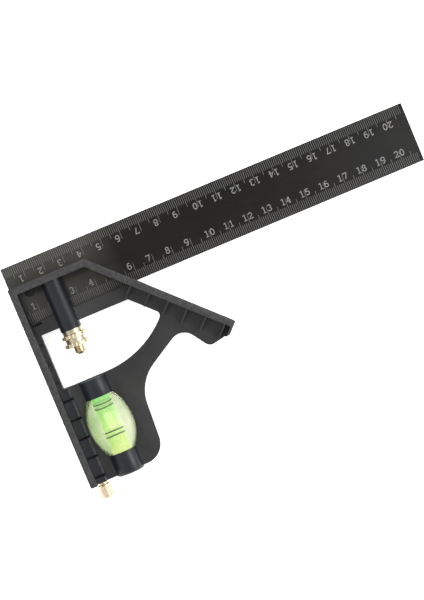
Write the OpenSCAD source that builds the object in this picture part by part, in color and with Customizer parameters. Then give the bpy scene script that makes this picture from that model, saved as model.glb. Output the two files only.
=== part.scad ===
// Combination square: a ruled steel blade slides in a ribbed plastic head that has a
// 90 degree reference face, a 45 degree mitre face, a level vial and a scriber.
// X runs along the blade, Y runs up the reference face, Z is the head's thickness.
// The model is laid out from the corner where the reference face meets the blade's
// lower edge, and placed so that the origin is under the middle of the whole part.

/* [Blade] */
// Length of the blade
blade_l = 210; // [160:1:320]
// Width of the blade
blade_w = 30; // [28:0.5:32]
// Thickness of the blade
blade_t = 1; // [0.9:0.1:1.2]
// How far the blade's end stands out past the reference face
blade_proud = 0; // [0:0.1:12]
// Width of the clamping groove along the back of the blade
groove_w = 3; // [2.8:0.1:3.4]
// Depth of the clamping groove
groove_d = 0.4; // [0.3:0.05:0.5]
// Diameter of the hanging hole
hang_d = 5; // [4:0.5:6]
// Distance from the blade's end to the hanging hole
hang_x = 9; // [7:0.5:12]

/* [Head] */
// Thickness of the head
head_t = 22; // [22:0.5:26]
// Length of the head above the blade's lower edge
head_top = 19.3; // [18.5:0.1:20]
// Length of the head below the blade's lower edge
head_drop = 83.4; // [82:0.1:85]
// Thickness of the 90 degree flange
flange = 3.4; // [3:0.1:4]
// Thickness of the 45 degree flange
mitre_flange = 3.5; // [3:0.1:4]
// Where the 45 degree face meets the line of the blade's lower edge
mitre_x = 58.7; // [58:0.1:60]
// Length of the 45 degree face
mitre_len = 78.2; // [76:0.1:79]
// Thickness of the web plate
web_t = 5; // [4:0.5:6]
// Spacing of the ribs along the 45 degree flange
rib_pitch = 9.75; // [9.5:0.05:10]
// Thickness of a rib
rib_t = 0.8; // [0.6:0.1:1.2]

/* [Clamp] */
// Distance of the clamp and the vial from the reference face
clamp_x = 20.5; // [20:0.1:21]
// Outer diameter of the clamp tube
tube_d = 10.4; // [10:0.1:11]
// Diameter of the bolt's shank
shank_d = 5.3; // [5:0.1:5.5]
// Diameter of the bolt's head
bolt_d = 7; // [6.8:0.1:7.2]
// Diameter of the nut's two knurled collars
nut_d = 12.5; // [11:0.5:13]
// Number of flutes around a collar
flutes = 20; // [12:1:28]

/* [Vial] */
// Largest diameter of the vial
vial_d = 22; // [20:0.5:22]
// Diameter of the vial where it meets its sockets
vial_end_d = 14; // [13.4:0.1:14.2]
// Length of the barrel between its sockets
vial_l = 28.6; // [26:0.2:30]
// Distance from the blade's lower edge to the middle of the vial
vial_y = 58.9; // [58:0.1:60]
// Outer diameter of the sockets
socket_d = 14.5; // [14.3:0.1:15]
// Diameter of the liquid chamber
chamber_d = 6.4; // [6:0.1:8]
// Length of the bubble
bubble_l = 8.4; // [6:0.1:10]

/* [Scriber] */
// Distance of the scriber from the reference face
scriber_x = 5.7; // [5.4:0.1:6]
// Diameter of the scriber's needle
needle_d = 2; // [1.8:0.1:2.2]
// Diameter of the scriber's knob
knob_d = 6.2; // [5:0.1:7]
// Length of the scriber's knob
knob_l = 8; // [6:0.1:10]

/* [Hidden] */
$fn = 64;
eps = 0.01;
// Clearances on a radius or a side: a press fit, a turning fit, a sliding bore, faces that
// only meet, and the blade in its slot
press_fit = 0.02;
fit = 0.05;
bore_fit = 0.08;
meet = 0.03;
blade_gap = 0.07;

// Levels through the thickness
mid = head_t / 2;
blade_z0 = mid - blade_t / 2;
blade_z1 = mid + blade_t / 2;
web_z0 = mid - web_t / 2;
web_z1 = mid + web_t / 2;
seat_half = 4.1;
panel_t = 3.5;

// Head outline
root2 = sqrt(2);
top_x = mitre_x - head_top;
tip_x = top_x + mitre_len / root2;
tip_y = head_top - mitre_len / root2;
toe_len = 7;
toe_x = tip_x - toe_len / root2;
toe_y = tip_y - toe_len / root2;
border = 3.5;
end_wall = 1.2;
inner_sum = mitre_x - mitre_flange * root2;
far = 200;
outline_corners = [
    [0, head_top, 0.6],
    [top_x, head_top, 1],
    [tip_x, tip_y, 0.4],
    [toe_x, toe_y, 1.8],
    [78.8, -43, 4],
    [69.5, -29, 7.5],
    [40.9, -45.9, 21],
    [38.9, -head_drop, 10],
    [0, -head_drop, 0.6]
];

// Window between the seat bar and the vial
window_x = 5.9;
seat_h = 6.8;
window_sum = 44.3;
arc_x = 28.2;
arc_r = 47.5;
arc_y = 12.7;
window_end = 63.3;

// Ledge beside the 90 degree flange
ledge_x = 8.6;
ledge_edge = 1;
ledge_half = 4;
notch_w = 1.2;
notch_floor = 1.6;
notches = 9;
notch_y = -1.2;
notch_pitch = 9.86;
ribs = 6;
rib_start = 56;
rib_len = 6.9;
rib_inset = 2;
rib_drop = 3.2;

// Relief in the 45 degree flange, so that a board can meet the face under the blade
relief_h = 1.7;
relief_d = 2;

// Clamp
bolt_r = bolt_d / 2;
tube_rise = 2.2;
tube_end = -9.6;
tube_top = head_top - 1;
guide_l = 1.6;
bore_top = 17;
bolt_top = 15.2;
bolt_foot = -1;
flat_foot = -1.5;
flat_z = blade_z0 - 0.1;
lip_w = 1.6;
lip_h = 0.3;
lip_x = 4.4;
shank_end = -22.2;
thread_pitch = 0.8;
thread_r = shank_d / 2;
thread_grooves = 5;
spring_wire = 0.5;
spring_r = thread_r + 0.4;
spring_turns = 5;
nut_top = tube_end - fit;
nut_l = 8.3;
nut_chamfer = 0.3;
nut_flute_r = 0.42;
neck_d = 10;
collar_l = 2;
neck_l = 2.1;

// Vial
journal_d = 11.8;
journal_l = 7;
vial_bulge = (vial_d - vial_end_d) / 2;
vial_arc = (pow(vial_l / 2, 2) + pow(vial_bulge, 2)) / (2 * vial_bulge);
barrel_gap = 0.4;
socket_top = 35.4;
socket_end = head_drop + 1;
socket_edge = 0.8;
chamber_top = vial_l / 2 + 5.6;
plug_l = 2.2;
line_t = 0.12;
line_w = 0.6;
line_places = [5.5, 7.5];
line_shift = 2.4;
bubble_d = 3.8;
bubble_open = 0.2;
bubble_shift = 1.5;
recess_d = 5;
recess_l = 1.2;

// Scriber
needle_top = -38;
needle_point = 6;
knob_top = -head_drop - 0.3;
knob_grip = 4;
knob_flutes = 18;
knob_flute_r = 0.35;
knob_neck = 0.7;
knob_chamfer = 0.3;

// Placing: the origin is under the middle of the part's box
low_x = min(-blade_proud, 0);
high_x = blade_l - blade_proud;
low_y = knob_top - knob_l;
high_y = blade_w;
shift = [-(low_x + high_x) / 2, -(low_y + high_y) / 2, 0];

// ---- helpers ----

function unit(v) = v / norm(v);

// Points of a corner [x, y, r] rounded to its radius, between its neighbours
function rounded_corner(a, p, b) =
    let (
        u = unit([a[0] - p[0], a[1] - p[1]]),
        v = unit([b[0] - p[0], b[1] - p[1]]),
        half = acos(u * v) / 2,
        c = [p[0], p[1]] + unit(u + v) * p[2] / sin(half),
        s = [p[0], p[1]] + u * p[2] / tan(half) - c,
        e = [p[0], p[1]] + v * p[2] / tan(half) - c,
        a0 = atan2(s[1], s[0]),
        turn0 = atan2(e[1], e[0]) - a0,
        turn = turn0 > 180 ? turn0 - 360 : turn0 < -180 ? turn0 + 360 : turn0,
        n = max(2, ceil(abs(turn) / 7))
    )
    [for (i = [0:n]) c + p[2] * [cos(a0 + turn * i / n), sin(a0 + turn * i / n)]];

// A closed path through corners, each rounded to its own radius
function rounded(corners) =
    let (n = len(corners))
    [for (i = [0:n - 1])
        each (corners[i][2] > 0
            ? rounded_corner(corners[(i + n - 1) % n], corners[i], corners[(i + 1) % n])
            : [[corners[i][0], corners[i][1]]])];

// Corners, with no rounding, along an arc
function arc_corners(c, r, a0, a1, n) =
    [for (i = [0:n])
        [c[0] + r * cos(a0 + (a1 - a0) * i / n), c[1] + r * sin(a0 + (a1 - a0) * i / n), 0]];

module placed() {
    translate(shift) children();
}

// Turns a shape made around Z so that its axis lies along +Y at a place
module along_y(x, y, z) {
    translate([x, y, z]) rotate([-90, 0, 0]) children();
}

// A shape and its mirror image on the head's other face
module both_faces() {
    children();
    translate([0, 0, head_t]) mirror([0, 0, 1]) children();
}

// ---- head ----

module outline_2d() {
    polygon(rounded(outline_corners));
}

module inside_flanges_2d() {
    inner_top = head_top - border;
    end_diff = tip_x - tip_y - end_wall * root2;
    end_x = (inner_sum + end_diff) / 2;
    end_y = (inner_sum - end_diff) / 2;
    polygon(rounded([
        [flange, -far, 0],
        [flange, inner_top, 0.5],
        [inner_sum - inner_top, inner_top, 0.5],
        [end_x, end_y, 0.4],
        [end_x - far, end_y - far, 0]
    ]));
}

module window_2d() {
    polygon(rounded(concat(
        [
            [window_x, -seat_h, 0.5],
            [window_sum + seat_h, -seat_h, 0.8],
            [window_end, window_sum - window_end, 2.4]
        ],
        arc_corners([arc_x, arc_y], arc_r, -46, -90, 11),
        [[window_x, arc_y - arc_r, 0.5]]
    )));
}

module flanges() {
    linear_extrude(head_t) difference() {
        outline_2d();
        inside_flanges_2d();
    }
}

module web() {
    translate([0, 0, web_z0]) linear_extrude(web_t) difference() {
        intersection() {
            outline_2d();
            translate([0, -far]) square([far, far - meet]);
        }
        window_2d();
    }
}

// Panel behind the blade, inside the border and the flanges
module back_panel() {
    translate([0, 0, blade_z0 - blade_gap - panel_t]) linear_extrude(panel_t) intersection() {
        outline_2d();
        translate([1, -1]) square([far, head_top]);
    }
}

// Bar that the blade's lower edge rests on
module seat_bar() {
    translate([0, 0, mid - seat_half]) linear_extrude(2 * seat_half) intersection() {
        outline_2d();
        polygon([
            [1, -meet],
            [1, -seat_h],
            [window_sum + seat_h, -seat_h],
            [rib_start / 2 + window_sum / 2 + 1, window_sum / 2 - rib_start / 2 + 1],
            [rib_start - 1, -meet]
        ]);
    }
}

// Ledge along the 90 degree flange, bevelled on both of its outer edges
module ledge() {
    translate([0, -meet, 0]) rotate([90, 0, 0])
        linear_extrude(head_drop - 0.2) polygon([
            [1, mid - ledge_half],
            [ledge_x - ledge_edge, mid - ledge_half],
            [ledge_x, mid - ledge_half + ledge_edge],
            [ledge_x, mid + ledge_half - ledge_edge],
            [ledge_x - ledge_edge, mid + ledge_half],
            [1, mid + ledge_half]
        ]);
}

// One rib stands between the 45 degree flange and the web, and is lower at its free end
module rib(k) {
    diff = rib_start + k * rib_pitch * root2;
    at_flange = [(inner_sum + diff) / 2, (inner_sum - diff) / 2];
    translate([at_flange[0], at_flange[1], 0]) rotate([0, 0, 45])
        translate([0, rib_t / 2, 0]) rotate([90, 0, 0]) linear_extrude(rib_t) polygon([
            [0.5, rib_inset],
            [0, rib_inset],
            [-rib_len, rib_inset + rib_drop],
            [-rib_len, head_t - rib_inset - rib_drop],
            [0, head_t - rib_inset],
            [0.5, head_t - rib_inset]
        ]);
}

module notch(k) {
    translate([flange, notch_y - k * notch_pitch - notch_w / 2, mid + notch_floor])
        cube([ledge_x + eps - flange, notch_w, head_t]);
}

module barrel_2d() {
    intersection() {
        translate([vial_d / 2 - vial_arc, 0]) circle(r = vial_arc, $fn = 180);
        translate([0, -vial_l / 2]) square([vial_d, vial_l]);
    }
}

// Half outline of the space around the barrel, in straight steps
module barrel_space_2d() {
    steps = 14;
    half = asin(vial_l / 2 / vial_arc);
    polygon(concat(
        [[0, -vial_l / 2]],
        [for (i = [0:steps])
            let (a = -half + 2 * half * i / steps)
            [vial_d / 2 - vial_arc + (vial_arc + barrel_gap) * cos(a), vial_arc * sin(a)]],
        [[0, vial_l / 2]]
    ));
}

// The clamp's tube is oblong: round towards both faces, with straight sides between
module clamp_tube() {
    tube_l = tube_top - tube_end;
    for (side = [-1, 1])
        along_y(clamp_x, tube_end, mid + side * tube_rise) cylinder(h = tube_l, d = tube_d);
    translate([clamp_x - tube_d / 2, tube_end, mid - tube_rise])
        cube([tube_d, tube_l, 2 * tube_rise]);
}

module head_solid() {
    flanges();
    web();
    back_panel();
    seat_bar();
    difference() {
        ledge();
        translate([0, 0, -1]) linear_extrude(head_t + 2) window_2d();
    }
    for (k = [0:ribs - 1]) rib(k);
    clamp_tube();
    along_y(clamp_x, -vial_y + vial_l / 2 + meet, mid)
        cylinder(h = vial_y - vial_l / 2 - socket_top, d = socket_d);
    along_y(clamp_x, -socket_end, mid) {
        cylinder(h = socket_edge, d1 = socket_d - 2 * socket_edge, d2 = socket_d);
        translate([0, 0, socket_edge])
            cylinder(h = socket_end - socket_edge - vial_y - vial_l / 2 - meet, d = socket_d);
    }
}

module blade_slot() {
    translate([-1, -meet, blade_z0 - blade_gap])
        cube([far, head_top + 2, blade_t + 2 * blade_gap]);
    translate([mitre_x - relief_d, -relief_h, blade_z0 - blade_gap])
        cube([far, relief_h, blade_t + 2 * blade_gap]);
}

module clamp_bore() {
    along_y(clamp_x, tube_end + guide_l, mid)
        cylinder(h = bore_top - tube_end - guide_l, r = bolt_r + bore_fit);
    along_y(clamp_x, tube_end - 1, mid) cylinder(h = guide_l + 2, r = thread_r + bore_fit);
}

module vial_space() {
    along_y(clamp_x, -vial_y, mid) rotate_extrude() barrel_space_2d();
    along_y(clamp_x, -socket_end - 1, mid)
        cylinder(h = socket_end + 1 - vial_y + vial_l / 2 + journal_l + 0.2,
            d = journal_d + 2 * meet);
}

module head() {
    color("#2b2b2d") placed() difference() {
        head_solid();
        blade_slot();
        clamp_bore();
        vial_space();
        both_faces() for (k = [0:notches - 1]) notch(k);
        along_y(scriber_x, -head_drop - 1, mid)
            cylinder(h = needle_top + head_drop + 2, r = needle_d / 2 + bore_fit);
    }
}

// ---- blade ----

module blade() {
    color("#333436") placed() difference() {
        translate([-blade_proud, 0, blade_z0]) cube([blade_l, blade_w, blade_t]);
        translate([-blade_proud - 1, (blade_w - groove_w) / 2, blade_z0 - 1])
            cube([blade_l + 2, groove_w, groove_d + 1]);
        translate([hang_x - blade_proud, blade_w / 2, blade_z0 - 1])
            cylinder(h = blade_t + 2, d = hang_d);
    }
}

// ---- clamp ----

// The bolt's head is cut flat for the blade, and its lip draws on the blade's groove
module clamp_bolt() {
    lip_y = (blade_w - groove_w) / 2 + meet;
    crest = thread_pitch / 4;
    color("#d9b96a") placed() {
        difference() {
            union() {
                along_y(clamp_x, bolt_foot, mid)
                    cylinder(h = bolt_top - bolt_foot, d = bolt_d);
                along_y(clamp_x, shank_end + 1, mid)
                    cylinder(h = bolt_foot - shank_end - 1 + eps, d = shank_d);
                along_y(clamp_x, shank_end, mid)
                    cylinder(h = 1, r1 = thread_r - 1, r2 = thread_r);
            }
            translate([clamp_x - bolt_d, flat_foot, flat_z])
                cube([2 * bolt_d, far, bolt_d]);
            for (k = [0:thread_grooves - 1])
                along_y(clamp_x, shank_end + 1.1 + k * thread_pitch, mid)
                    rotate_extrude() polygon([
                        [thread_r - crest, crest],
                        [thread_r + eps, 0],
                        [thread_r + eps, 2 * crest]
                    ]);
        }
        translate([clamp_x - lip_x / 2, lip_y, flat_z - 1])
            cube([lip_x, lip_w, blade_z0 + lip_h - flat_z + 1]);
    }
}

// Points of one ring of the spring's wire
function wire_ring(t, h, sides) =
    let (a = t * spring_turns * 360)
    [for (i = [0:sides - 1])
        let (b = i * 360 / sides, r = spring_r + spring_wire / 2 * cos(b))
        [r * cos(a), r * sin(a), t * h + spring_wire / 2 * sin(b)]];

module clamp_spring() {
    sides = 8;
    rings = spring_turns * 24;
    low = tube_end + guide_l + meet + spring_wire / 2;
    h = bolt_foot - meet - spring_wire / 2 - low;
    points = [for (k = [0:rings]) each wire_ring(k / rings, h, sides)];
    walls = [for (k = [0:rings - 1], i = [0:sides - 1])
        let (j = (i + 1) % sides)
        [k * sides + i, (k + 1) * sides + i, (k + 1) * sides + j, k * sides + j]];
    first = [for (i = [0:sides - 1]) i];
    last = [for (i = [0:sides - 1]) rings * sides + sides - 1 - i];
    color("silver") placed() along_y(clamp_x, low, mid)
        polyhedron(points = points, faces = concat(walls, [first, last]));
}

module nut_profile() {
    chamfer = nut_chamfer;
    bore = thread_r + fit;
    neck = neck_d / 2;
    collar = nut_d / 2;
    polygon([
        [bore, 0],
        [neck, 0],
        [neck, neck_l],
        [collar - chamfer, neck_l],
        [collar, neck_l + chamfer],
        [collar, neck_l + collar_l - chamfer],
        [collar - chamfer, neck_l + collar_l],
        [neck, neck_l + collar_l],
        [neck, 2 * neck_l + collar_l],
        [collar - chamfer, 2 * neck_l + collar_l],
        [collar, 2 * neck_l + collar_l + chamfer],
        [collar, nut_l - chamfer],
        [collar - chamfer, nut_l],
        [bore, nut_l]
    ]);
}

module clamp_nut() {
    color("#e3c57c") placed() translate([clamp_x, nut_top, mid]) rotate([90, 0, 0])
        difference() {
            rotate_extrude() nut_profile();
            for (k = [0:flutes - 1])
                rotate([0, 0, k * 360 / flutes])
                    translate([nut_d / 2 + 0.1, 0, neck_l - 0.5])
                        cylinder(h = nut_l, r = nut_flute_r, $fn = 16);
        }
}

// ---- vial ----

module vial_body() {
    bore_l = chamber_top + vial_l / 2 + journal_l + 1;
    color("#cfe8b8", 0.5) placed() along_y(clamp_x, -vial_y, mid) difference() {
        union() {
            rotate_extrude($fn = 96) barrel_2d();
            translate([0, 0, -vial_l / 2 - journal_l])
                cylinder(h = vial_l + 2 * journal_l, d = journal_d);
        }
        translate([0, 0, chamber_top - bore_l]) cylinder(h = bore_l, d = chamber_d);
    }
}

module vial_liquid() {
    low = -vial_l / 2 - journal_l + plug_l + meet;
    r = chamber_d / 2 - line_t - 2 * meet;
    color("#b6e83a", 0.8) placed() along_y(clamp_x, -vial_y, mid) difference() {
        translate([0, 0, low]) cylinder(h = chamber_top - meet - low, r = r);
        translate([0, bubble_d / 2 - r - bubble_open, bubble_shift])
            rotate_extrude() bubble_2d();
    }
}

// Half outline of the bubble, a short rod with round ends
module bubble_2d() {
    r = bubble_d / 2;
    intersection() {
        union() {
            translate([0, bubble_l / 2 - r]) circle(r = r);
            translate([0, r - bubble_l / 2]) circle(r = r);
            translate([-r, r - bubble_l / 2]) square([2 * r, bubble_l - 2 * r]);
        }
        translate([0, -bubble_l]) square([r, 2 * bubble_l]);
    }
}

module vial_lines() {
    outer = chamber_d / 2 - meet;
    color("black") placed() along_y(clamp_x, -vial_y, mid)
        for (side = [-1, 1], y = line_places)
            translate([0, 0, side * y + line_shift - line_w / 2]) difference() {
                cylinder(h = line_w, r = outer);
                translate([0, 0, -1]) cylinder(h = line_w + 2, r = outer - line_t);
            }
}

module vial_plug() {
    color("#dff0c8") placed()
        along_y(clamp_x, -vial_y - vial_l / 2 - journal_l, mid)
            cylinder(h = plug_l, d = chamber_d - 2 * meet);
}

module vial_retainer() {
    l = socket_end - vial_y - vial_l / 2 - journal_l - 0.1;
    color("#232325") placed() along_y(clamp_x, -socket_end, mid) difference() {
        cylinder(h = l, d = journal_d);
        translate([0, 0, -eps]) cylinder(h = recess_l, d1 = recess_d, d2 = recess_d - 1);
    }
}

// ---- scriber ----

module scriber_knob() {
    r = knob_d / 2;
    color("#d9b96a") placed() translate([scriber_x, knob_top, mid]) rotate([90, 0, 0])
        difference() {
            rotate_extrude() polygon([
                [0, 0],
                [r - knob_neck, 0],
                [r - knob_neck, 1],
                [r - knob_chamfer, 1],
                [r, 1 + knob_chamfer],
                [r, knob_l - 2 * knob_chamfer],
                [r - 2 * knob_chamfer, knob_l],
                [0, knob_l]
            ]);
            translate([0, 0, -1]) cylinder(h = knob_grip + 1, r = needle_d / 2 + press_fit);
            for (k = [0:knob_flutes - 1])
                rotate([0, 0, k * 360 / knob_flutes])
                    translate([r + knob_flute_r / 2, 0, 2])
                        cylinder(h = knob_l, r = knob_flute_r, $fn = 16);
        }
}

module scriber_needle() {
    low = knob_top - knob_grip + meet;
    color("silver") placed() along_y(scriber_x, low, mid) {
        cylinder(h = needle_top - needle_point - low, d = needle_d);
        translate([0, 0, needle_top - needle_point - low])
            cylinder(h = needle_point, r1 = needle_d / 2, r2 = 0.1);
    }
}

head();
blade();
clamp_bolt();
clamp_spring();
clamp_nut();
vial_body();
vial_liquid();
vial_lines();
vial_plug();
vial_retainer();
scriber_knob();
scriber_needle();
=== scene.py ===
"""Looks of the combination square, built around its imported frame. All lengths are in metres."""

import math

import bmesh
import bpy
from mathutils import Matrix, Vector


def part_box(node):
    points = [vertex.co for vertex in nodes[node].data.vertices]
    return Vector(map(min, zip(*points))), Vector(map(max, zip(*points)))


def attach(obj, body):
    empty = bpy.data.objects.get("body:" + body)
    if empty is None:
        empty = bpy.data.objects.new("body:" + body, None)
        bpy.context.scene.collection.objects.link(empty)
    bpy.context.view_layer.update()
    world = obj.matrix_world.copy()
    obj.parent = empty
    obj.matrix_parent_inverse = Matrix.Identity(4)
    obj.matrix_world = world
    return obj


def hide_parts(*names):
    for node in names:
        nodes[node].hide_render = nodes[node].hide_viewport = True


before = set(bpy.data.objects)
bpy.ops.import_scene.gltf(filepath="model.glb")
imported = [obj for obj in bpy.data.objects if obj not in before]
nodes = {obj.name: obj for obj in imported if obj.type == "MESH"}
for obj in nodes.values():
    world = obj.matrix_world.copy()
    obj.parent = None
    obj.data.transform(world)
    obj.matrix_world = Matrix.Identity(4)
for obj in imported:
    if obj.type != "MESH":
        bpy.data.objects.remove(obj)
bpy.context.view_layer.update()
MM = 0.001


# ---- places taken from the frame ----

def middle(node):
    low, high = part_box(node)
    return (low + high) / 2


blade_low, blade_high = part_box("blade")
head_low, head_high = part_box("head")
clamp_axis = middle("clamp_nut")
vial_axis = middle("vial_body")
scriber_axis = middle("scriber_knob")


# ---- node helpers ----

# Heights of the bumps in a moulded grain, and in the finer marks on metal
GRAIN_DEEP = 0.06 * MM
SCRATCH_DEEP = 0.03 * MM


class Shader:
    """A Principled material with short calls for the nodes that feed it."""

    def __init__(self, name, **sockets):
        self.material = bpy.data.materials.new(name)
        self.material.use_nodes = True
        self.tree = self.material.node_tree
        self.bsdf = self.tree.nodes["Principled BSDF"]
        for socket, value in sockets.items():
            self.bsdf.inputs[socket.replace("_", " ")].default_value = value
        self.place = self.node("ShaderNodeTexCoord").outputs["Object"]

    def node(self, kind, **settings):
        made = self.tree.nodes.new(kind)
        for key, value in settings.items():
            setattr(made, key, value)
        return made

    def link(self, source, target):
        self.tree.links.new(source, target)

    def noise(self, size, detail=2.0, roughness=0.5, place=None):
        """Noise whose features are about size metres across."""
        made = self.node("ShaderNodeTexNoise")
        made.inputs["Scale"].default_value = 1 / size
        made.inputs["Detail"].default_value = detail
        made.inputs["Roughness"].default_value = roughness
        self.link(place or self.place, made.inputs["Vector"])
        return made.outputs["Fac"]

    def along(self, axis, start, end, clamp=False):
        """How far along an axis a point lies: 0 at start and 1 at end."""
        split = self.node("ShaderNodeSeparateXYZ")
        self.link(self.place, split.inputs[0])
        passed = self.math("SUBTRACT", split.outputs[axis], start)
        return self.math("DIVIDE", passed, end - start, clamp=clamp)

    def stretched(self, stretch):
        """The place, squeezed along each axis by a factor, so that noise is longer there."""
        made = self.node("ShaderNodeVectorMath", operation="MULTIPLY")
        self.link(self.place, made.inputs[0])
        made.inputs[1].default_value = stretch
        return made.outputs["Vector"]

    def ramp(self, source, stops):
        """A colour or grey ramp: stops are (position, colour or grey)."""
        made = self.node("ShaderNodeValToRGB")
        elements = made.color_ramp.elements
        while len(elements) < len(stops):
            elements.new(0.5)
        for element, (position, value) in zip(elements, stops):
            element.position = position
            grey = isinstance(value, (int, float))
            element.color = (value, value, value, 1) if grey else (*value, 1)
        self.link(source, made.inputs["Fac"])
        return made.outputs["Color"]

    def mix(self, amount, a, b, blend="MIX"):
        made = self.node("ShaderNodeMix", data_type="RGBA", blend_type=blend)
        for value, socket in ((amount, made.inputs["Factor"]), (a, made.inputs["A"]), (b, made.inputs["B"])):
            if isinstance(value, bpy.types.NodeSocket):
                self.link(value, socket)
            else:
                socket.default_value = value if isinstance(value, float) else (*value, 1)
        return made.outputs["Result"]

    def math(self, operation, a, b=0.0, clamp=False):
        made = self.node("ShaderNodeMath", operation=operation, use_clamp=clamp)
        for value, socket in ((a, made.inputs[0]), (b, made.inputs[1])):
            if isinstance(value, bpy.types.NodeSocket):
                self.link(value, socket)
            else:
                socket.default_value = value
        return made.outputs[0]

    def bump(self, heights, distance=0.0001):
        """Adds bumps: heights are (source, strength), the finest last."""
        normal = None
        for source, strength in heights:
            made = self.node("ShaderNodeBump")
            made.inputs["Strength"].default_value = strength
            made.inputs["Distance"].default_value = distance
            self.link(source, made.inputs["Height"])
            if normal is not None:
                self.link(normal, made.inputs["Normal"])
            normal = made.outputs["Normal"]
        self.link(normal, self.bsdf.inputs["Normal"])

    def feed(self, socket, source):
        self.link(source, self.bsdf.inputs[socket])


def moulded_plastic(name, colour, polished_sheen_colour, wear_and_highlight_colour):
    """Black plastic: a fine grain on the flat faces, a bare smooth skin with a painted bluish sheen where
    the mould was round, faint flow marks, edges lighter partly from wear and partly as a painted
    highlight, and a painted shade on the ledge."""
    s = Shader(name, Specular_IOR_Level=0.5)
    grain = s.noise(0.4 * MM, detail=3)
    cloud = s.noise(16 * MM, detail=5, roughness=0.6)
    rub = s.noise(1.6 * MM, detail=5, roughness=0.7)
    polish_and_sheen = s.node("ShaderNodeAttribute", attribute_name="polish_and_sheen").outputs["Fac"]
    edge = s.node("ShaderNodeAttribute", attribute_name="edge").outputs["Fac"]
    shade = s.node("ShaderNodeAttribute", attribute_name="shade").outputs["Fac"]
    # The smooth tube and sockets take a darker bluish colour, a painted sheen.
    body = s.mix(polish_and_sheen, colour, polished_sheen_colour)
    # Painted shade: the ledge beside the long flange darkens towards a bluish black.
    body = s.mix(shade, body, (0.0045, 0.006, 0.009))
    body = s.mix(1.0, body, s.ramp(cloud, [(0.3, 0.85), (0.7, 1.18)]), "MULTIPLY")
    body = s.mix(1.0, body, s.ramp(grain, [(0.35, 0.82), (0.65, 1.18)]), "MULTIPLY")
    # Edges lighter: partly wear, broken up by the rub noise, and partly a painted highlight where rounded
    # edges and bevels catch the light.
    wear_and_highlight = s.math("MULTIPLY", edge, s.ramp(rub, [(0.4, 0.25), (0.62, 1.0)]), clamp=True)
    s.feed("Base Color", s.mix(wear_and_highlight, body, wear_and_highlight_colour))
    grained = s.ramp(cloud, [(0.3, 0.44), (0.7, 0.56)])
    s.feed("Roughness", s.mix(polish_and_sheen, grained, s.ramp(cloud, [(0.3, 0.3), (0.7, 0.4)])))
    rough = s.math("MULTIPLY", grain, s.math("SUBTRACT", 1.0, s.math("MULTIPLY", polish_and_sheen, 0.8)))
    s.bump([(s.noise(5 * MM, detail=2), 0.1), (rough, 0.4)], distance=GRAIN_DEEP)
    return s.material


# How far from the blade's end the painted light reaches
PAINTED_LIGHT_LONG = 100 * MM


def blackened_steel(name):
    """The blade's black finish: brushed lengthwise, with faint rub marks, and a painted light: lighter
    grey towards the end where the head is held, standing in for the light that falls there."""
    s = Shader(name, Specular_IOR_Level=0.17)
    brushed = s.noise(0.25 * MM, detail=4, place=s.stretched((0.02, 1.0, 1.0)))
    cloud = s.noise(30 * MM, detail=4, roughness=0.6)
    rub = s.noise(2.5 * MM, detail=6, roughness=0.75, place=s.stretched((0.3, 1.0, 1.0)))
    tone = s.ramp(cloud, [(0.3, (0.0065, 0.006, 0.0056)), (0.7, (0.0105, 0.0097, 0.009))])
    tone = s.mix(1.0, tone, s.ramp(brushed, [(0.3, 0.8), (0.7, 1.25)]), "MULTIPLY")
    tone = s.mix(s.ramp(rub, [(0.62, 0.0), (0.8, 0.35)]), tone, (0.05, 0.048, 0.046))
    # Painted light: lighter grey added towards the end under the head.
    along = s.along("X", blade_low.x, blade_low.x + PAINTED_LIGHT_LONG, clamp=True)
    painted_light_at_head = s.ramp(along, [
        (0.0, (0.04, 0.04, 0.034)), (0.4, (0.036, 0.035, 0.03)),
        (0.56, (0.004, 0.0035, 0.003)), (1.0, (0.0, 0.0, 0.0))])
    tone = s.mix(1.0, tone, painted_light_at_head, "ADD")
    s.feed("Base Color", tone)
    s.feed("Roughness", s.ramp(brushed, [(0.3, 0.36), (0.7, 0.5)]))
    s.bump([(brushed, 0.15)], distance=SCRATCH_DEEP)
    return s.material


def etched_mark(name, colour):
    """The pale fill in an etched line, thin in places."""
    s = Shader(name, Roughness=0.7)
    thin = s.noise(0.5 * MM, detail=3)
    dark = tuple(c * 0.6 for c in colour)
    s.feed("Base Color", s.ramp(thin, [(0.35, dark), (0.6, colour)]))
    s.bump([(thin, 0.2)], distance=SCRATCH_DEEP)
    return s.material


def turned(s, axis):
    """Distance from an axis along Y and place along it, as a vector: noise on it runs in rings."""
    split = s.node("ShaderNodeSeparateXYZ")
    s.link(s.place, split.inputs[0])
    dx = s.math("SUBTRACT", split.outputs["X"], axis.x)
    dz = s.math("SUBTRACT", split.outputs["Z"], axis.z)
    square = s.math("ADD", s.math("MULTIPLY", dx, dx), s.math("MULTIPLY", dz, dz))
    joined = s.node("ShaderNodeCombineXYZ")
    s.link(s.math("SQRT", square), joined.inputs["X"])
    s.link(split.outputs["Y"], joined.inputs["Y"])
    return joined.outputs["Vector"]


def turned_brass(name, axis, light, dark, dull=0.34, bright=0.2):
    """Brass from a lathe: rings of fine tool marks and a little tarnish."""
    s = Shader(name, Metallic=1.0)
    rings = s.noise(0.12 * MM, detail=3, place=turned(s, axis))
    tarnish = s.noise(1.8 * MM, detail=5, roughness=0.65)
    tone = s.ramp(tarnish, [(0.35, dark), (0.6, light)])
    tone = s.mix(1.0, tone, s.ramp(rings, [(0.3, 0.86), (0.7, 1.1)]), "MULTIPLY")
    s.feed("Base Color", tone)
    s.feed("Roughness", s.ramp(tarnish, [(0.35, dull), (0.65, bright)]))
    s.bump([(rings, 0.35)], distance=SCRATCH_DEEP)
    return s.material


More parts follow.
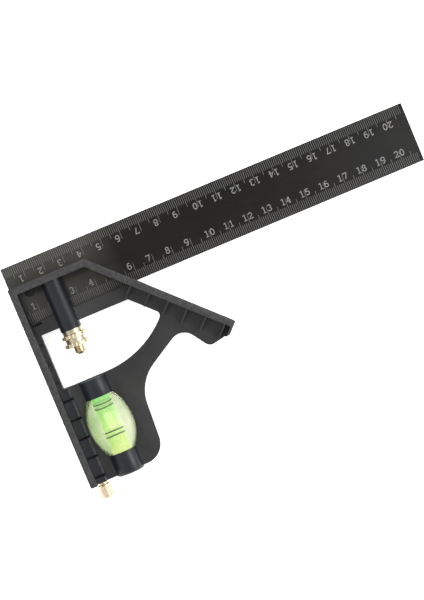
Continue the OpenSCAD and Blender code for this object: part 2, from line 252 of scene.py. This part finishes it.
def drawn_steel(name, axis):
    """Hard drawn wire or a ground needle."""
    s = Shader(name, Metallic=1.0)
    rings = s.noise(0.1 * MM, detail=3, place=turned(s, axis))
    s.feed("Base Color", s.ramp(rings, [(0.3, (0.45, 0.45, 0.46)), (0.7, (0.68, 0.68, 0.7))]))
    s.feed("Roughness", s.ramp(rings, [(0.3, 0.22), (0.7, 0.34)]))
    s.bump([(rings, 0.2)], distance=SCRATCH_DEEP)
    return s.material


def clear_acrylic(name, left, right):
    """Clear acrylic, cloudy in places, with a painted shade: darker and greener towards the reference face's
    side.
    """
    s = Shader(name, Transmission_Weight=0.88, IOR=1.49)
    # Painted shade: the tone darkens towards the left, the reference face's side.
    across = s.along("X", left, right)
    cloud = s.noise(7 * MM, detail=3, roughness=0.6)
    cloud_and_side_shade = s.math("ADD", s.math("MULTIPLY", cloud, 0.6), s.math("MULTIPLY", across, 0.45))
    s.feed("Base Color", s.ramp(cloud_and_side_shade, [(0.35, (0.44, 0.58, 0.3)), (0.65, (0.81, 0.82, 0.66))]))
    s.feed("Roughness", s.ramp(cloud_and_side_shade, [(0.3, 0.1), (0.7, 0.2)]))
    return s.material


def level_liquid(name, low, high):
    """Green liquid that glows through its emission, a painted light, with a painted light and shade along
    it: pale yellow towards the vial's lower end, darker green towards the upper.
    """
    s = Shader(name, Transmission_Weight=0.75, IOR=1.44, Roughness=0.18, Emission_Strength=0.42)
    height = s.along("Y", low, high)
    painted_tone_place = s.math("ADD", height, s.math("MULTIPLY", s.noise(9 * MM, detail=2), 0.3))
    # Painted light and shade: paler and yellower low down, darker green high up.
    tone = s.ramp(painted_tone_place, [(0.2, (0.98, 1.0, 0.46)), (0.62, (0.72, 1.0, 0.4)), (1.0, (0.36, 0.88, 0.3))])
    s.feed("Base Color", tone)
    s.feed("Emission Color", tone)
    return s.material


def bubble_skin(name):
    """The liquid's surface round the bubble, which glows paler than the liquid through its emission, a
    painted glint.
    """
    s = Shader(name, Transmission_Weight=0.6, IOR=1.44, Roughness=0.12, Emission_Strength=0.55)
    tone = s.ramp(s.noise(5 * MM, detail=2), [(0.3, (1.0, 0.84, 0.95)), (0.7, (1.0, 0.88, 1.0))])
    s.feed("Base Color", tone)
    s.feed("Emission Color", tone)
    return s.material


def printed_line(name):
    s = Shader(name, Roughness=0.5)
    ink = s.ramp(s.noise(0.8 * MM), [(0.3, (0.003, 0.03, 0.005)), (0.7, (0.006, 0.05, 0.008))])
    s.feed("Base Color", ink)
    return s.material


# ---- pieces ----

# Angles, in degrees, over which an edge is rounded, or stays hard on a moulded or a turned form;
# and under which two faces count as one
ROUNDED_OVER = 28
MOULDED_SHARP = 32
TURNED_SHARP = 40
FLAT_UNDER = 0.8


def add_mesh(name, mesh):
    piece = bpy.data.objects.new(name, mesh)
    bpy.context.scene.collection.objects.link(piece)
    return piece


# Limits of the head's zones: half widths and radii, and distances from the head's or vial's box
TUBE_HALF_WIDE = 5.3 * MM
TUBE_HALF_DEEP = 7.6 * MM
TUBE_BELOW_TOP = 3.3 * MM
SOCKET_REACH = 25 * MM
SOCKET_R = 7.4 * MM
FLANGE_WIDE = 3.3 * MM
LEDGE_WIDE = 7.5 * MM
LEDGE_BEVEL_END = 8.7 * MM
LEDGE_HALF_DEEP = 4.1 * MM
BEVEL_INNER = 3 * MM
BEVEL_OUTER = 4 * MM
RIM_DEPTH = 0.01 * MM


def piece_from(name, form, *materials, sharp=None):
    """A piece made of a finished bmesh. Sharp is the angle, in degrees, that stays a hard edge."""
    mesh = bpy.data.meshes.new(name)
    form.to_mesh(mesh)
    form.free()
    for material in materials:
        mesh.materials.append(material)
    if sharp:
        mesh.shade_smooth()
        mesh.set_sharp_from_angle(angle=math.radians(sharp))
    return add_mesh(name, mesh)


def in_round(point, axis, radius):
    """Whether a point lies on a round form along Y."""
    return math.hypot(point.x - axis.x, point.z - axis.z) < radius


def polished_zone(point):
    """The clamp tube and the vial's sockets: smooth from the mould, and given a darker bluish colour, a
    painted sheen.
    """
    beside = abs(point.x - clamp_axis.x) < TUBE_HALF_WIDE and abs(point.z - clamp_axis.z) < TUBE_HALF_DEEP
    tube = beside and clamp_axis.y < point.y < head_high.y - TUBE_BELOW_TOP
    socket = point.y < vial_axis.y + SOCKET_REACH and in_round(point, vial_axis, SOCKET_R)
    return 1.0 if tube or socket else 0.0


def shaded_zone(point):
    """The ledge beside the long flange, darkened to a bluish black as a painted shade beside the tall
    flange.
    """
    ledge = head_low.x + FLANGE_WIDE < point.x < head_low.x + LEDGE_WIDE
    return float(ledge and abs(point.z - vial_axis.z) < LEDGE_HALF_DEEP and point.y < blade_low.y)


def rubbed_zone(point):
    """The rims of the flanges and the border, made lighter, and the ledge's bevels, made lighter as a
    painted highlight where light from the side catches them.
    """
    rim = min(head_high.z - point.z, point.z - head_low.z) < RIM_DEPTH
    bevel = head_low.x + LEDGE_WIDE < point.x < head_low.x + LEDGE_BEVEL_END and (
        BEVEL_INNER < abs(point.z - vial_axis.z) < BEVEL_OUTER and point.y < blade_low.y)
    return 0.45 * rim + 0.6 * bevel


def nowhere(point):
    return 0.0


def softened_copy(name, node, width, material, polish_and_sheen_at=nowhere, lightened_at=nowhere, shaded=nowhere):
    """A copy of a CAD node's mesh with its sharp edges rounded. Its new strips carry an edge mark."""
    form = bmesh.new()
    form.from_mesh(nodes[node].data)
    bmesh.ops.remove_doubles(form, verts=form.verts, dist=1e-7)
    bmesh.ops.dissolve_limit(form, angle_limit=math.radians(FLAT_UNDER), verts=form.verts, edges=form.edges)
    sharp = [
        e for e in form.edges
        if len(e.link_faces) == 2 and e.calc_face_angle(0) > math.radians(ROUNDED_OVER)]
    made = bmesh.ops.bevel(
        form, geom=sharp, offset=width, offset_type="OFFSET", segments=2,
        profile=0.5, affect="EDGES", clamp_overlap=True)
    strips = set(made["faces"])
    edge = form.faces.layers.float.new("edge")
    polish_and_sheen = form.faces.layers.float.new("polish_and_sheen")
    shade = form.faces.layers.float.new("shade")
    for face in form.faces:
        middle_of_face = face.calc_center_median()
        # Faces carry lighter edges (partly wear, partly painted highlight), smooth zones with a painted
        # sheen, and painted shade.
        face[edge] = 1.0 if face in strips else lightened_at(middle_of_face)
        face[polish_and_sheen] = polish_and_sheen_at(middle_of_face)
        face[shade] = shaded(middle_of_face)
    return piece_from(name, form, material, sharp=MOULDED_SHARP)


def finish_node(node, material):
    """Gives a CAD node its finished material."""
    mesh_object = nodes[node]
    mesh_object.data.materials.clear()
    mesh_object.data.materials.append(material)


def swollen_copy(name, node, axis, factor, material):
    """A copy of a CAD node's mesh, widened around an axis along Y."""
    mesh = nodes[node].data.copy()
    mesh.name = name
    for vert in mesh.vertices:
        vert.co.x = axis.x + (vert.co.x - axis.x) * factor
        vert.co.z = axis.z + (vert.co.z - axis.z) * factor
    mesh.materials.clear()
    mesh.materials.append(material)
    return add_mesh(name, mesh)


def lathe(form, profile, centre, turns, inward=False):
    """Turns a profile of (radius, place along Y) around an axis along Y."""
    rings = []
    for radius, along in profile:
        if radius < 1e-9:
            rings.append([form.verts.new(centre + Vector((0, along, 0)))] * turns)
            continue
        rings.append([
            form.verts.new(centre + Vector((
                radius * math.cos(2 * math.pi * i / turns), along,
                radius * math.sin(2 * math.pi * i / turns))))
            for i in range(turns)])
    for a, b in zip(rings, rings[1:]):
        for i in range(turns):
            j = (i + 1) % turns
            corners = list(dict.fromkeys((a[i], b[i], b[j], a[j])))
            form.faces.new(corners[::-1] if inward else corners)


# The vial: chamber and barrel end radii, journals, and the fineness of its turned forms
CHAMBER = 3.2 * MM
CHAMBER_TOP = 19.9 * MM
BARREL_END = 7 * MM
JOURNAL = 5.9 * MM
JOURNAL_LONG = 7 * MM
BARREL_TURNS = 128
LIQUID_TURNS = 64
BUBBLE_TURNS = 48


def vial_barrel(name, material):
    """The clear body: a barrel with an arc for its side, between two journals, drilled from below."""
    low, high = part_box("vial_body")
    bulge = (high.x - low.x) / 2
    tall = (high.y - low.y) / 2
    half = tall - JOURNAL_LONG
    rise = bulge - BARREL_END
    arc = (half * half + rise * rise) / (2 * rise)
    reach = math.asin(half / arc)
    turns = [reach * i / 24 for i in range(-24, 25)]
    outside = [(CHAMBER, -tall), (JOURNAL, -tall), (JOURNAL, -half)]
    outside += [(bulge - arc + arc * math.cos(t), arc * math.sin(t)) for t in turns]
    outside += [(JOURNAL, half), (JOURNAL, tall), (0, tall)]
    inside = [(0, CHAMBER_TOP), (CHAMBER, CHAMBER_TOP), (CHAMBER, -tall)]
    form = bmesh.new()
    lathe(form, outside, vial_axis, BARREL_TURNS)
    lathe(form, inside, vial_axis, BARREL_TURNS)
    bmesh.ops.remove_doubles(form, verts=form.verts, dist=1e-7)
    return piece_from(name, form, material, sharp=TURNED_SHARP)


# The liquid reaches this far past its rings' box, so that it wets the chamber's wall
WETTING = 0.045 * MM
BUBBLE_R = 1.9 * MM
BUBBLE_HALF_LONG = 4.2 * MM
BUBBLE_RISE = 1.5 * MM
BUBBLE_UNDER_WALL = 0.1 * MM
RING_SWELL = 1.035


def vial_fill(name, material, bubble_material):
    """The liquid wets the chamber's wall, and its bubble is a hollow just under the front."""
    low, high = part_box("vial_liquid")
    wall = (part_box("vial_lines")[1].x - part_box("vial_lines")[0].x) / 2 + WETTING
    half = BUBBLE_HALF_LONG - BUBBLE_R
    centre = Vector((vial_axis.x, 0, vial_axis.z))
    form = bmesh.new()
    lathe(form, [(0, low.y), (wall, low.y), (wall, high.y), (0, high.y)], centre, LIQUID_TURNS)
    cap = [math.radians(90 * i / 10) for i in range(11)]
    profile = [(BUBBLE_R * math.sin(t), -half - BUBBLE_R * math.cos(t)) for t in cap]
    profile += [(BUBBLE_R * math.cos(t), half + BUBBLE_R * math.sin(t)) for t in cap]
    rise = Vector((0, vial_axis.y + BUBBLE_RISE, wall - BUBBLE_R - BUBBLE_UNDER_WALL))
    liquid_faces = len(form.faces)
    lathe(form, profile, centre + rise, BUBBLE_TURNS, inward=True)
    for i, face in enumerate(form.faces):
        face.material_index = int(i >= liquid_faces)
    return piece_from(name, form, material, bubble_material, sharp=TURNED_SHARP)


def stand_in(piece, body, slot, *replaced):
    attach(piece, body)
    if replaced:
        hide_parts(*replaced)


# How much of a sharp edge is rounded away
HEAD_EDGE = 0.33 * MM
BLADE_EDGE = 0.1 * MM
# The head's colours: the plain plastic, the smooth tube and sockets' darker bluish one, a painted sheen, and
# the edges' lighter one, partly wear and partly a painted highlight.
plastic = moulded_plastic(
    "head_plastic", (0.021, 0.021, 0.0205), (0.011, 0.0135, 0.018), (0.09, 0.09, 0.092))
head = softened_copy("head_moulding", "head", HEAD_EDGE, plastic, polished_zone, rubbed_zone, shaded_zone)
stand_in(head, "head", "head_plastic", "head")

steel = blackened_steel("blade_steel")
blade = softened_copy("blade_rule", "blade", BLADE_EDGE, steel)
stand_in(blade, "blade", "blade_steel", "blade")

finish_node("clamp_nut", turned_brass("nut_brass", clamp_axis, (1.0, 0.9, 0.67), (1.0, 0.83, 0.55),
    dull=0.44, bright=0.32))
finish_node("clamp_bolt", turned_brass("bolt_brass", clamp_axis, (0.96, 0.82, 0.58), (0.78, 0.6, 0.34)))
finish_node("clamp_spring", drawn_steel("spring_steel", clamp_axis))
finish_node("scriber_knob", turned_brass("knob_brass", scriber_axis, (1.0, 0.84, 0.64), (0.92, 0.74, 0.52),
    dull=0.5, bright=0.4))
finish_node("scriber_needle", drawn_steel("needle_steel", scriber_axis))
# Its second and third colours are the painted sheen's and the lighter edges'.
finish_node("vial_retainer", moulded_plastic(
    "retainer_plastic", (0.02, 0.02, 0.021), (0.008, 0.0095, 0.013), (0.05, 0.05, 0.05)))
body_low, body_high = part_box("vial_body")
barrel = vial_barrel("vial_barrel", clear_acrylic("vial_acrylic", body_low.x, body_high.x))
stand_in(barrel, "head", "vial_acrylic", "vial_body")
finish_node("vial_plug", clear_acrylic("plug_acrylic", body_low.x, body_high.x))
liquid_low, liquid_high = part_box("vial_liquid")
liquid = level_liquid("vial_liquid", liquid_low.y, liquid_high.y)
fill = vial_fill("vial_fill", liquid, bubble_skin("vial_bubble"))
stand_in(fill, "head", "vial_liquid", "vial_liquid")
lines = swollen_copy("vial_rings", "vial_lines", vial_axis, RING_SWELL, printed_line("vial_lines"))
stand_in(lines, "head", "vial_lines", "vial_lines")


# ---- graduations and numbers on the blade ----

MARK_HEIGHT = 0.02 * MM
TICK_WIDTH = 0.18 * MM
TICK_FROM_EDGE = 0.15 * MM
TICK_LONG = {1: 4.8 * MM, 5: 6.6 * MM, 10: 8.8 * MM}
DIGIT_HEIGHT = 3.3 * MM
DIGIT_PITCH = 2.9 * MM
# How far a number of one digit, or of two, stands before its tick
ASIDE = {1: 2.1 * MM, 2: 0.1 * MM}
STROKE_WIDTH = 0.12
LOWER_ROW = 6.0 * MM
UPPER_ROW = 23.8 * MM
last_tick = int((blade_high.x - blade_low.x) / MM)
marks = etched_mark("tick_fill", (0.2, 0.2, 0.192))
figures = etched_mark("figure_fill", (0.3, 0.3, 0.285))


def add_plate(form, x0, x1, y0, y1, z0, z1):
    """A thin closed plate."""
    corners = [form.verts.new((x, y, z)) for z in (z0, z1) for y in (y0, y1) for x in (x0, x1)]
    for quad in ((0, 2, 3, 1), (4, 5, 7, 6), (0, 1, 5, 4), (2, 6, 7, 3), (0, 4, 6, 2), (1, 3, 7, 5)):
        form.faces.new([corners[i] for i in quad])


def tick_marks(name, base_z, top_z):
    form = bmesh.new()
    for tick in range(1, last_tick):
        length = TICK_LONG[10 if tick % 10 == 0 else 5 if tick % 5 == 0 else 1]
        x = blade_low.x + tick * MM
        for edge, way in ((blade_low.y, 1), (blade_high.y, -1)):
            near, far = sorted((edge + way * TICK_FROM_EDGE, edge + way * length))
            add_plate(form, x - TICK_WIDTH / 2, x + TICK_WIDTH / 2, near, far, base_z, top_z)
    return piece_from(name, form, marks)


def bow(x, y, across, up, start, end, steps=10):
    """Points along part of an ellipse, in degrees."""
    turns = [math.radians(start + (end - start) * i / steps) for i in range(steps + 1)]
    return [(x + across * math.cos(t), y + up * math.sin(t)) for t in turns]


# Strokes of each digit, in parts of the digit's height above its foot
STROKES = {
    "0": [bow(0, 0.5, 0.26, 0.44, 0, 342, 20) + [(0.26, 0.5)]],
    "1": [[(-0.2, 0.8), (0.04, 0.94), (0.04, 0.06)], [(-0.18, 0.06), (0.26, 0.06)]],
    "2": [bow(0, 0.68, 0.26, 0.26, 165, -35) + [(-0.26, 0.08), (0.28, 0.08), (0.28, 0.22)]],
    "3": [bow(0, 0.71, 0.23, 0.23, 150, -90), bow(0, 0.28, 0.27, 0.22, 90, -150)],
    "4": [
        [(0.1, 0.94), (-0.28, 0.34), (0.3, 0.34)], [(0.12, 0.94), (0.12, 0.06)],
        [(-0.04, 0.06), (0.27, 0.06)]],
    "5": [[(0.24, 0.94), (-0.2, 0.94), (-0.22, 0.56)] + bow(-0.01, 0.34, 0.27, 0.28, 120, -145)],
    "6": [
        bow(0.02, 0.5, 0.28, 0.44, 60, 180) + bow(0, 0.32, 0.26, 0.26, 180, 360)
        + bow(0, 0.32, 0.26, 0.26, 0, 165)],
    "7": [[(-0.26, 0.8), (-0.26, 0.93), (0.27, 0.93), (-0.04, 0.06)]],
    "8": [
        bow(0, 0.73, 0.21, 0.21, 0, 342, 16) + [(0.21, 0.73)],
        bow(0, 0.29, 0.26, 0.23, 0, 342, 16) + [(0.26, 0.29)]],
}
STROKES["9"] = [[(-x, 1 - y) for x, y in line] for line in STROKES["6"]]


def add_stroke(form, points, width, base_z, top_z, place):
    """A ribbon of even width along points, as a thin closed solid."""
    spots = [Vector(p) for p in points]
    sides = []
    for i, spot in enumerate(spots):
        before = (spot - spots[i - 1]).normalized() if i else None
        after = (spots[i + 1] - spot).normalized() if i < len(spots) - 1 else None
        along = ((before or after) + (after or before)).normalized()
        across = Vector((-along.y, along.x))
        stretch = 1 / max(0.6, along.dot(after or before))
        sides.append((spot + across * width / 2 * stretch, spot - across * width / 2 * stretch))
    rings = []
    for left, right in sides:
        rings.append([
            form.verts.new(place @ Vector((*q, z)))
            for q, z in ((left, base_z), (right, base_z), (right, top_z), (left, top_z))])
    for a, b in zip(rings, rings[1:]):
        for i in range(4):
            form.faces.new((a[i], a[(i + 1) % 4], b[(i + 1) % 4], b[i]))
    form.faces.new(rings[0][::-1])
    form.faces.new(rings[-1])


def numbers(name, face_z, back):
    """The numbers of both scales. The upper scale's read from the blade's other edge."""
    form = bmesh.new()
    flip = Matrix.Rotation(math.pi, 4, "Y") if back else Matrix.Identity(4)
    size = Matrix.Diagonal((DIGIT_HEIGHT, DIGIT_HEIGHT, 1, 1))
    for cm in range(1, last_tick // 10 + 1):
        text = str(cm)
        aside = ASIDE[len(text)] * (-1 if back else 1)
        x = blade_low.x + cm * 10 * MM - aside
        for foot, spin in ((LOWER_ROW, 0), (UPPER_ROW, math.pi)):
            spot = Matrix.Translation((x, blade_low.y + foot, face_z))
            for i, digit in enumerate(text):
                beside = Matrix.Translation(((i - (len(text) - 1) / 2) * DIGIT_PITCH, 0, 0))
                place = spot @ flip @ Matrix.Rotation(spin, 4, "Z") @ beside @ size
                for line in STROKES[digit]:
                    add_stroke(form, line, STROKE_WIDTH, -MARK_HEIGHT, MARK_HEIGHT, place)
    bmesh.ops.recalc_face_normals(form, faces=form.faces)
    return piece_from(name, form, figures)


ticks_front = tick_marks("scale_ticks_front", blade_high.z - MARK_HEIGHT, blade_high.z + MARK_HEIGHT)
stand_in(ticks_front, "blade", "blade_steel")
numbers_front = numbers("scale_numbers_front", blade_high.z, False)
stand_in(numbers_front, "blade", "blade_steel")
ticks_back = tick_marks("scale_ticks_back", blade_low.z - MARK_HEIGHT, blade_low.z + MARK_HEIGHT)
stand_in(ticks_back, "blade", "blade_steel")
numbers_back = numbers("scale_numbers_back", blade_low.z, True)
stand_in(numbers_back, "blade", "blade_steel")


# ---- floor, light and camera ----

# Just under the head, whose rims lie at height 0
FLOOR_DROP = 0.05 * MM


def add_floor():
    bpy.ops.mesh.primitive_plane_add(size=4, location=(0, 0, -FLOOR_DROP))
    floor = bpy.context.object
    floor.name = "floor"
    s = Shader("floor_paper", Roughness=0.9, Emission_Strength=0.8, Emission_Color=(1, 1, 1, 1))
    tone = s.noise(0.3, detail=2)
    s.feed("Base Color", s.ramp(tone, [(0.3, (0.88, 0.88, 0.88)), (0.7, (0.9, 0.9, 0.9))]))
    floor.data.materials.append(s.material)


def add_softbox(name, place, aim, size, power, glossy=True):
    lamp = bpy.data.lights.new(name, "AREA")
    lamp.shape = "RECTANGLE"
    lamp.size, lamp.size_y = size
    lamp.energy = power
    made = bpy.data.objects.new(name, lamp)
    bpy.context.scene.collection.objects.link(made)
    made.visible_transmission = False
    made.visible_glossy = glossy
    made.location = place
    made.rotation_euler = (Vector(aim) - Vector(place)).to_track_quat("-Z", "Y").to_euler()


def add_world(overhead, horizon):
    """A pale studio all round, brighter towards the horizon than overhead."""
    world = bpy.data.worlds.new("studio")
    bpy.context.scene.world = world
    world.use_nodes = True
    tree = world.node_tree
    place = tree.nodes.new("ShaderNodeTexCoord")
    split = tree.nodes.new("ShaderNodeSeparateXYZ")
    grade = tree.nodes.new("ShaderNodeMapRange")
    grade.inputs["From Min"].default_value = 0.35
    grade.inputs["From Max"].default_value = 0.95
    grade.inputs["To Min"].default_value = horizon
    grade.inputs["To Max"].default_value = overhead
    tree.links.new(place.outputs["Generated"], split.inputs[0])
    tree.links.new(split.outputs["Z"], grade.inputs["Value"])
    tree.links.new(grade.outputs["Result"], tree.nodes["Background"].inputs["Strength"])
    tree.nodes["Background"].inputs["Color"].default_value = (1, 1, 1, 1)


def add_camera():
    """Almost straight above the tool, turned so that the blade climbs to the right."""
    target = Vector((-18.3, 8.3, 11.5)) * MM
    distance = 813 * MM
    tilt, side, roll = math.radians(2.96), math.radians(-43.5), math.radians(22.71)
    back = Vector((math.sin(tilt) * math.sin(side), math.sin(tilt) * math.cos(side), math.cos(tilt)))
    up = Vector((math.sin(roll), math.cos(roll), 0))
    right = up.cross(back).normalized()
    up = back.cross(right)
    camera = bpy.data.cameras.new("camera")
    camera.lens = 100.8
    camera.shift_x = 0.0061
    camera.shift_y = 0.0015
    camera.clip_start = 0.01
    made = bpy.data.objects.new("camera", camera)
    bpy.context.scene.collection.objects.link(made)
    turn = Matrix((right, up, back)).transposed().to_4x4()
    made.matrix_world = Matrix.Translation(target + back * distance) @ turn
    bpy.context.scene.camera = made


add_floor()
add_world(0.42, 1.05)
add_softbox("key", (-0.32, 0.34, 1.2), (0, 0, 0), (0.3, 0.3), 8, glossy=False)
add_softbox("strip", (0.55, 0, 0.65), (0, 0, 0), (0.5, 0.35), 2.6)
add_camera()
bpy.context.scene.view_settings.view_transform = "Standard"
